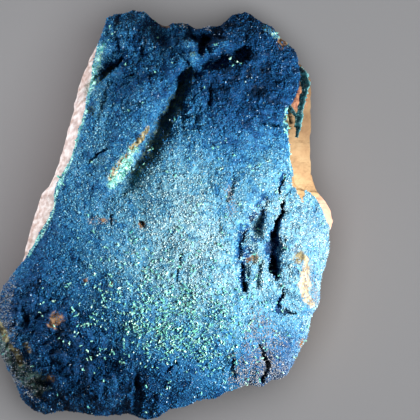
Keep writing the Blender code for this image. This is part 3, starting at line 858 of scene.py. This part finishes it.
# Some crystals are stony.  Crystals along the lower left edge and at the lower right are greyed as
# stony rock, and those on the right are greyed as painted sheen.
stony = rng.uniform(0.0, 1.0, count) < 0.72 * patches(flat, DULL)
across, up = flat.T
sheen_and_stony_grey = 0.05 * ease(-across, 24.0, 30.0) * ease(-up, 8.0, 14.0)
sheen_and_stony_grey += 0.15 * ease(across, 14.0, 19.0) * ease(-up, -6.0, 0.0)
sheen_and_stony_grey += 0.22 * ease(across, 25.5, 29.0) * ease(-up, -6.0, 0.0)
sheen_and_stony_grey = np.maximum(sheen_and_stony_grey, 0.32 * ease(across, 16.0, 21.0) * ease(-up, 19.0, 25.0))
dull = np.maximum(stony, sheen_and_stony_grey)

# Each crystal strays from the tone of its place, and a few, most of them in the trough, are painted
# pale as glints.
tone = paleness_and_painted_light(flat)
tint = tone + (0.05 + 0.16 * tone) * rng.normal(size=count) + 0.14 * patches(flat, TURQUOISE)
painted_glint_share = 0.016 * tone + 0.25 * np.exp(-(beside(flat, TROUGH) ** 3))
tint = np.where(rng.uniform(0.0, 1.0, count) < painted_glint_share, 0.85, tint)
# Crystals are darker on the dark olive, which is partly painted shade, and in the slits as painted shade.
tint *= 1.0 - np.maximum(0.6 * patches(flat, OLIVE_AND_SHADE), 0.75 * patches(flat, PAINTED_SLIT_SHADE))
tint = np.clip(tint, 0.0, 1.0)

druse_blue, tree, shader = finish("cornetite_crystal", roughness=0.2, IOR=1.6)
shader.inputs["Specular IOR Level"].default_value = 0.15
shader.inputs["Specular Tint"].default_value = (0.75, 0.90, 1.0, 1.0)
colour = graded_blue(tree, attribute(tree, "tint"))
# Grey on stony crystals, and painted sheen on those on the right.
colour = blend(tree, attribute(tree, "dull"), colour, (0.285, 0.29, 0.295))
cloud = ramp(
    tree, noise_texture(tree, 1800.0, 3.0),
    (0.35, (0.70, 0.74, 0.78)), (0.65, (1.0, 1.0, 1.0)),
)
colour = blend(tree, 1.0, colour, cloud, "MULTIPLY")
pale_tip = ramp(tree, attribute(tree, "tip"), (0.2, (0.70, 0.74, 0.80)), (1.0, (1.0, 1.0, 1.0)))
colour = blend(tree, 1.0, colour, pale_tip, "MULTIPLY")
tree.links.new(colour, shader.inputs["Base Color"])

names = ("druse_foot", "druse_lower", "druse_upper", "druse_head")
for name, chosen in zip(names, np.array_split(np.argsort(up), len(names))):
    druse = crystal_mesh(name, corners[chosen], tint[chosen], dull[chosen])
    add_piece(druse, druse_blue, "cornetite")


# The flakes.  At the upper right two thin blades of the crust have come away from the rock at their
# lower ends and hang over the bare stone.  They are darker and greener than the crust, paler along
# their edges, and carry their own small crystals.

# Along each blade: (across, up, half width).
FLAKE = [
    (27.2, 29.4, 0.3), (27.9, 27.8, 0.8), (28.3, 26.2, 0.9), (28.1, 24.6, 0.7), (27.5, 22.6, 0.5),
    (27.1, 20.6, 0.6), (26.7, 18.0, 0.7), (26.5, 16.2, 0.5), (26.4, 15.2, 0.2),
]
SLIVER = [(24.5, 22.4, 0.2), (25.0, 21.2, 0.4), (25.8, 20.0, 0.35), (26.4, 19.2, 0.15)]


def blade(line):
    """A closed tube of flat ellipses along a line of (across, up, half width), at the height of the
    crust's rim beside it, and frayed by noise.  Gives its points, their directions from the middle,
    and how near each is to the blade's two edges."""
    rings, half_thickness = 64, 0.42
    run = np.linspace(0.0, 1.0, rings)
    middle = along([place[:2] for place in line], run)
    half_width = np.interp(run, np.linspace(0.0, 1.0, len(line)), np.array(line)[:, 2])
    rim_line = face(np.ones(200), np.linspace(0.5, 1.0, 200))
    height = np.interp(middle[:, 1], rim_line[:, 1] + middle_of_outline()[1], rim_line[:, 2]) - 0.2
    turn = -np.linspace(0.0, 2.0 * np.pi, 18, False)
    around = np.stack([np.cos(turn), 0.0 * turn, 0.0 * turn], axis=-1)[None] * half_width[:, None, None]
    around = around + np.array([0.0, 0.0, half_thickness]) * np.sin(turn)[None, :, None]
    centre = np.column_stack([middle - middle_of_outline(), height])
    points = centre[:, None] + around
    points += 0.44 * noise(points, 0.9, 81)[..., None] * around
    return points, around, np.tile(np.abs(np.cos(turn)) ** 3, rings)


flake_teal, tree, shader = finish("flake_teal", roughness=0.4)
shader.inputs["Specular IOR Level"].default_value = 0.2
colour = ramp(
    tree, attribute(tree, "tint"),
    (0.0, (0.003, 0.020, 0.028)), (0.4, (0.012, 0.080, 0.100)), (1.0, (0.20, 0.48, 0.48)),
)
cloud = ramp(tree, noise_texture(tree, 1400.0, 4.0), (0.35, (0.55, 0.6, 0.6)), (0.65, (1.0, 1.0, 1.0)))
tree.links.new(blend(tree, 1.0, colour, cloud, "MULTIPLY"), shader.inputs["Base Color"])

for name, line, seed in (("flake", FLAKE, 82), ("sliver", SLIVER, 83)):
    points, around, nearness = blade(line)
    skin = sheet("crust_" + name, points, joined=True, capped=True)
    store(skin, "tint", 0.10 + 0.7 * np.concatenate([nearness, np.zeros(2)]))
    add_piece(skin, flake_teal, "cornetite")
    rng = np.random.default_rng(seed)
    normals = (around / np.linalg.norm(around, axis=-1, keepdims=True)).reshape(-1, 3)
    outer = normals[:, 2] > -0.3
    roots, normals, nearness = points.reshape(-1, 3)[outer], normals[outer], nearness[outer]
    width = 0.11 * np.exp(0.25 * rng.normal(size=len(roots)))
    corners = crystal_bodies(rng, roots, normals, width, 1.8 * width, lean=0.42)
    tint = np.clip(0.15 + 0.12 * rng.normal(size=len(roots)) + 0.6 * nearness, 0.0, 1.0)
    add_piece(crystal_mesh(name + "_crystals", corners, tint), flake_teal, "cornetite")


# The mint crystals.  Paler green crystals of a copper phosphate grew last, in small stars on top of the
# druse.  They crowd together low on the face and are strewn over the rest.

# Where they crowd: ((across, up), (half widths), share).
MINT_AREAS = [
    ((-1.0, -20.6), (9.0, 5.4), 1.7),
    ((6.0, -24.0), (7.0, 4.0), 1.9),
    ((11.0, -19.0), (6.0, 6.0), 0.8),
    ((-12.0, -18.0), (6.0, 4.0), 0.35),
    ((2.0, -13.0), (12.0, 7.0), 0.4),
    ((12.0, 2.0), (10.0, 7.0), 0.14),
    ((14.4, 30.2), (2.2, 0.8), 0.5),
    ((19.0, -30.0), (6.0, 4.0), 0.30),
    ((26.0, -27.0), (1.6, 3.0), 0.4),
]

rng, flat, roots, normals = scattered(columns=118, rows=144, seed=71)
crowding = np.full(len(flat), 0.02)
for place, spread, share in MINT_AREAS:
    off = (flat - np.array(place)) / np.array(spread)
    crowding = np.maximum(crowding, share * np.exp(-0.5 * (off ** 2).sum(axis=1)))
crowding = crowding * (0.6 + 0.6 * flat_noise(flat, 2.4, 73))
seed, places = TURQUOISE
crowding = np.maximum(crowding, 0.9 * patches(flat, (seed, places[:1])))
crowding = np.maximum(crowding, 0.12 * patches(flat, (seed, places[1:])))
starred = rng.uniform(0.0, 1.0, len(flat)) < 0.7 * crowding
arms = 4
flat, roots, normals = (np.repeat(values[starred], arms, axis=0) for values in (flat, roots, normals))
count = len(flat)
width = 0.125 * np.exp(0.28 * rng.normal(size=count))
length = width * rng.uniform(2.2, 4.4, count)
corners = crystal_bodies(rng, roots + 0.25 * normals, normals, width, length, lean=1.2)
tint = np.clip(0.5 + 0.22 * rng.normal(size=count), 0.0, 1.0)

mint_green, tree, shader = finish("mint_crystal", roughness=0.25, IOR=1.7)
colour = ramp(
    tree, attribute(tree, "tint"),
    (0.0, (0.05, 0.32, 0.31)), (0.5, (0.20, 0.60, 0.46)), (1.0, (0.60, 0.88, 0.72)),
)
cloud = ramp(tree, noise_texture(tree, 1800.0, 3.0), (0.35, (0.7, 0.7, 0.7)), (0.65, (1.0, 1.0, 1.0)))
tree.links.new(blend(tree, 1.0, colour, cloud, "MULTIPLY"), shader.inputs["Base Color"])
add_piece(crystal_mesh("mint_crystals", corners, tint), mint_green, "cornetite")


# The table, the lamps and the camera.  The specimen lies on a plain grey table.  A soft lamp stands on
# its right, a weaker bluish one low on its left, a third lights only the table, and the camera looks
# straight down.

bpy.ops.mesh.primitive_plane_add(size=3.0)
table = bpy.context.object
table.name = "table"
pale_grey, tree, shader = finish("pale_table", roughness=0.9)
shader.inputs["Base Color"].default_value = (0.30, 0.30, 0.31, 1.0)
table.data.materials.append(pale_grey)
table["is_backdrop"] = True
specimen_only = bpy.data.collections.new("specimen_lit")
table_only = bpy.data.collections.new("table_lit")
table_only.objects.link(table)
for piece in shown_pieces():
    if piece is not table:
        specimen_only.objects.link(piece)


def lamp(name, place, aim, size, power, lit, colour=(1.0, 1.0, 1.0)):
    """A square soft lamp at a place, turned to an aim, both in millimetres.  It lights one collection."""
    light = bpy.data.lights.new(name, "AREA")
    light.size = size * 0.001
    light.energy = power
    light.color = colour
    holder = bpy.data.objects.new(name, light)
    bpy.context.scene.collection.objects.link(holder)
    start, end = np.array(place) * 0.001, np.array(aim) * 0.001
    holder.location = start
    run = end - start
    holder.rotation_euler = (
        np.arctan2(np.hypot(run[0], run[1]), -run[2]), 0.0, np.arctan2(run[1], run[0]) - np.pi / 2.0)
    holder.light_linking.receiver_collection = lit


lamp(
    "right_lamp", (115.0, -28.0, 100.0), (8.0, -4.0, 22.0),
    size=45.0, power=0.72, lit=specimen_only,
)
lamp(
    "left_lamp", (-110.0, 40.0, 60.0), (-14.0, 14.0, 22.0),
    size=50.0, power=0.24, lit=specimen_only, colour=(0.86, 0.94, 1.0),
)
lamp("table_lamp", (60.0, -10.0, 420.0), (20.0, 0.0, 0.0), size=400.0, power=2.1, lit=table_only)

world = bpy.data.worlds.new("studio")
world.use_nodes = True
world.node_tree.nodes["Background"].inputs["Color"].default_value = (0.80, 0.84, 0.90, 1.0)
world.node_tree.nodes["Background"].inputs["Strength"].default_value = 0.10
bpy.context.scene.world = world
bpy.context.scene.view_settings.view_transform = "Standard"

camera = bpy.data.objects.new("camera", bpy.data.cameras.new("camera"))
camera.data.lens = 500.0
camera.data.sensor_width = 36.0
camera.data.clip_start = 0.01
span, level = 0.084, 0.014
camera.location = (0.0091, 0.0010, level + span * camera.data.lens / camera.data.sensor_width)
bpy.context.scene.collection.objects.link(camera)
bpy.context.scene.camera = camera
